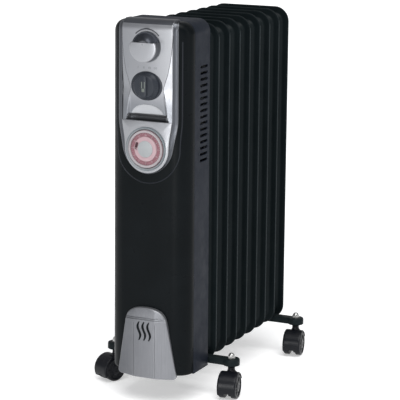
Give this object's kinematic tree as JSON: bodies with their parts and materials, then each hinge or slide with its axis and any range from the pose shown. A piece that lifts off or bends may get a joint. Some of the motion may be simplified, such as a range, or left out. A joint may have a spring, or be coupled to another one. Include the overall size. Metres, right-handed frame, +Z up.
{
  "type": "oil filled radiator heater",
  "caption": "Upright portable oil filled radiator: a row of flat steel fins behind a tall control housing with knobs and a timer, on two cross legs with swivelling twin wheel castors.",
  "frame": {"origin": "on the floor, under the centre of the overall box", "axes": "+Z up, -Y towards the control side, +X to the right as seen from the control side"},
  "size_m": [0.2587, 0.414, 0.612],
  "materials": {
    "fin_enamel": "satin black stoved enamel",
    "gloss_black": "polished black moulding",
    "side_black": "satin blue-black moulding",
    "silver_paint": "silver metallic lacquer",
    "cover_paint": "silver grey metallic lacquer",
    "steel": "zinc plated",
    "chrome": "bright plated",
    "brass": "turned",
    "galvanised": "galvanised sheet",
    "white_moulding": "moulded",
    "pale_grey": "moulded",
    "printed_dial": "printed ring on a pale disc",
    "dark_red": "moulded",
    "brown_moulding": "heat resisting moulding"
  },
  "bodies": {
    "radiator": {"fin_1": "fin_enamel", "fin_2": "fin_enamel", "fin_3": "fin_enamel", "fin_4": "fin_enamel", "fin_5": "fin_enamel", "fin_6": "fin_enamel", "fin_7": "fin_enamel", "fin_8": "fin_enamel", "oil_filler_plug": "steel", "element_flange": "brass", "heating_element_upper": "steel", "heating_element_lower": "steel", "front_panel": "gloss_black", "side_frame": "side_black", "heat_shield": "galvanised", "control_fascia": "silver_paint", "lower_cover": "cover_paint", "thermostat_body": "brown_moulding", "selector_switch_body": "white_moulding", "timer_body": "white_moulding", "timer_bezel": "pale_grey", "timer_hub": "pale_grey", "terminal_block": "white_moulding", "thermal_cutout": "brown_moulding", "cord_gland": "gloss_black", "front_leg": "fin_enamel", "rear_leg": "fin_enamel", "front_leg_clamp": "steel", "rear_leg_clamp": "steel", "castor_fl_nut": "chrome", "castor_fl_stem": "steel", "castor_fr_nut": "chrome", "castor_fr_stem": "steel", "castor_rl_nut": "chrome", "castor_rl_stem": "steel", "castor_rr_nut": "chrome", "castor_rr_stem": "steel"},
    "thermostat": {"thermostat_knob": "silver_paint", "thermostat_shaft": "steel"},
    "selector": {"selector_knob": "gloss_black", "selector_shaft": "steel"},
    "timer_wheel": {"timer_dial": "printed_dial", "timer_tappet_ring": "white_moulding"},
    "timer_lever": {"timer_override": "dark_red"},
    "castor_fl": {"castor_fl_hood": "gloss_black", "castor_fl_axle": "steel"},
    "castor_fl_left": {"castor_fl_wheel_left": "gloss_black"},
    "castor_fl_right": {"castor_fl_wheel_right": "gloss_black"},
    "castor_fr": {"castor_fr_hood": "gloss_black", "castor_fr_axle": "steel"},
    "castor_fr_left": {"castor_fr_wheel_left": "gloss_black"},
    "castor_fr_right": {"castor_fr_wheel_right": "gloss_black"},
    "castor_rl": {"castor_rl_hood": "gloss_black", "castor_rl_axle": "steel"},
    "castor_rl_left": {"castor_rl_wheel_left": "gloss_black"},
    "castor_rl_right": {"castor_rl_wheel_right": "gloss_black"},
    "castor_rr": {"castor_rr_hood": "gloss_black", "castor_rr_axle": "steel"},
    "castor_rr_left": {"castor_rr_wheel_left": "gloss_black"},
    "castor_rr_right": {"castor_rr_wheel_right": "gloss_black"}
  },
  "joints": [
    {"name": "thermostat_turn", "type": "hinge", "parent": "radiator", "child": "thermostat", "pos_m": [0.0037, -0.2, 0.5705], "axis": [0, 1, 0], "range_deg": [-150, 150]},
    {"name": "selector_turn", "type": "hinge", "parent": "radiator", "child": "selector", "pos_m": [0.0037, -0.2, 0.51], "axis": [0, 1, 0], "range_deg": [0, 270]},
    {"name": "timer_turn", "type": "hinge", "parent": "radiator", "child": "timer_wheel", "pos_m": [0.0037, -0.195, 0.412], "axis": [0, 1, 0], "continuous": true},
    {"name": "timer_lever_slide", "type": "slide", "parent": "radiator", "child": "timer_lever", "axis": [-0.2588, 0, -0.9659], "range_m": [0, 0.003]},
    {"name": "castor_fl_swivel", "type": "hinge", "parent": "radiator", "child": "castor_fl", "pos_m": [-0.1013, -0.094, 0.045], "axis": [0, 0, 1], "continuous": true},
    {"name": "castor_fl_left_roll", "type": "hinge", "parent": "castor_fl", "child": "castor_fl_left", "pos_m": [-0.10577, -0.10405, 0.02], "axis": [0.9135, -0.4067, 0], "continuous": true},
    {"name": "castor_fl_right_roll", "type": "hinge", "parent": "castor_fl", "child": "castor_fl_right", "pos_m": [-0.10577, -0.10405, 0.02], "axis": [0.9135, -0.4067, 0], "continuous": true},
    {"name": "castor_fr_swivel", "type": "hinge", "parent": "radiator", "child": "castor_fr", "pos_m": [0.1087, -0.094, 0.045], "axis": [0, 0, 1], "continuous": true},
    {"name": "castor_fr_left_roll", "type": "hinge", "parent": "castor_fr", "child": "castor_fr_left", "pos_m": [0.11042, -0.10486, 0.02], "axis": [0.9877, 0.1564, 0], "continuous": true},
    {"name": "castor_fr_right_roll", "type": "hinge", "parent": "castor_fr", "child": "castor_fr_right", "pos_m": [0.11042, -0.10486, 0.02], "axis": [0.9877, 0.1564, 0], "continuous": true},
    {"name": "castor_rl_swivel", "type": "hinge", "parent": "radiator", "child": "castor_rl", "pos_m": [-0.1013, 0.177, 0.045], "axis": [0, 0, 1], "continuous": true},
    {"name": "castor_rl_left_roll", "type": "hinge", "parent": "castor_rl", "child": "castor_rl_left", "pos_m": [-0.09547, 0.16767, 0.02], "axis": [0.848, 0.5299, 0], "continuous": true},
    {"name": "castor_rl_right_roll", "type": "hinge", "parent": "castor_rl", "child": "castor_rl_right", "pos_m": [-0.09547, 0.16767, 0.02], "axis": [0.848, 0.5299, 0], "continuous": true},
    {"name": "castor_rr_swivel", "type": "hinge", "parent": "radiator", "child": "castor_rr", "pos_m": [0.1087, 0.177, 0.045], "axis": [0, 0, 1], "continuous": true},
    {"name": "castor_rr_left_roll", "type": "hinge", "parent": "castor_rr", "child": "castor_rr_left", "pos_m": [0.11042, 0.16614, 0.02], "axis": [0.9877, 0.1564, 0], "continuous": true},
    {"name": "castor_rr_right_roll", "type": "hinge", "parent": "castor_rr", "child": "castor_rr_right", "pos_m": [0.11042, 0.16614, 0.02], "axis": [0.9877, 0.1564, 0], "continuous": true}
  ]
}
